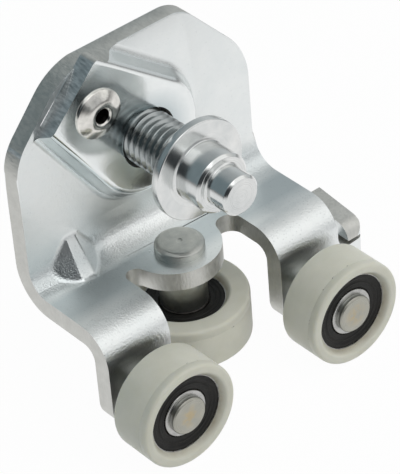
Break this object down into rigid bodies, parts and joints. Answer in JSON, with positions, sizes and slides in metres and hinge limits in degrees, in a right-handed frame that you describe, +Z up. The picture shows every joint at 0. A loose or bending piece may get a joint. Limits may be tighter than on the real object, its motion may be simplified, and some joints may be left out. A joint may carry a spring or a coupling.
{
  "type": "sliding door roller guide",
  "caption": "Bent sheet-metal door carriage with a threaded pivot stud, nylon-tyred track rollers on its legs and a guide roller under its tongue.",
  "frame": {"origin": "on the pivot stud's axis, in the front face of its collar", "axes": "+X along the rail to the right seen from the stud's side, +Y back from the door, +Z up"},
  "size_m": [0.0845, 0.0579, 0.0863],
  "materials": {
    "zinc_plate": "semi-gloss zinc",
    "machined_steel": "bright turned",
    "rivet_steel": "bright",
    "axle_steel": "turned, zinc",
    "bearing_steel": "ground",
    "cage_plastic": "matt",
    "seal_rubber": "satin",
    "nylon": "satin moulded"
  },
  "bodies": {
    "carriage": {"carriage_plate": "zinc_plate", "pivot_stud": "machined_steel", "nut_plate": "zinc_plate", "blind_rivet": "rivet_steel", "rivet_mandrel": "rivet_steel", "left_axle": "axle_steel", "left_inner_ring": "bearing_steel", "right_axle": "axle_steel", "right_inner_ring": "bearing_steel", "guide_axle": "axle_steel", "guide_inner_ring": "bearing_steel"},
    "left_roller": {"left_tyre": "nylon", "left_outer_ring": "bearing_steel", "left_outer_seal": "seal_rubber", "left_inner_seal": "seal_rubber"},
    "left_ball_set": {"left_cage": "cage_plastic", "left_balls": "bearing_steel"},
    "right_roller": {"right_tyre": "nylon", "right_outer_ring": "bearing_steel", "right_outer_seal": "seal_rubber", "right_inner_seal": "seal_rubber"},
    "right_ball_set": {"right_cage": "cage_plastic", "right_balls": "bearing_steel"},
    "guide_roller": {"guide_tyre": "nylon", "guide_outer_ring": "bearing_steel", "guide_outer_seal": "seal_rubber", "guide_inner_seal": "seal_rubber"},
    "guide_ball_set": {"guide_cage": "cage_plastic", "guide_balls": "bearing_steel"}
  },
  "joints": [
    {"name": "left_roller_spin", "type": "hinge", "parent": "carriage", "child": "left_roller", "pos_m": [-0.026, -0.017, -0.0452], "axis": [0, -1, 0], "continuous": true},
    {"name": "left_ball_set_spin", "type": "hinge", "parent": "carriage", "child": "left_ball_set", "pos_m": [-0.026, -0.017, -0.0452], "axis": [0, -1, 0], "continuous": true},
    {"name": "right_roller_spin", "type": "hinge", "parent": "carriage", "child": "right_roller", "pos_m": [0.026, -0.017, -0.0452], "axis": [0, -1, 0], "continuous": true},
    {"name": "right_ball_set_spin", "type": "hinge", "parent": "carriage", "child": "right_ball_set", "pos_m": [0.026, -0.017, -0.0452], "axis": [0, -1, 0], "continuous": true},
    {"name": "guide_roller_spin", "type": "hinge", "parent": "carriage", "child": "guide_roller", "pos_m": [0, 0.0105, -0.0469], "axis": [0, 0, -1], "continuous": true},
    {"name": "guide_ball_set_spin", "type": "hinge", "parent": "carriage", "child": "guide_ball_set", "pos_m": [0, 0.0105, -0.0469], "axis": [0, 0, -1], "continuous": true}
  ],
  "couplings": [
    {"joint": "left_ball_set_spin", "follows": "left_roller_spin", "ratio": 0.6323},
    {"joint": "right_ball_set_spin", "follows": "right_roller_spin", "ratio": 0.6323},
    {"joint": "guide_ball_set_spin", "follows": "guide_roller_spin", "ratio": 0.6323}
  ]
}
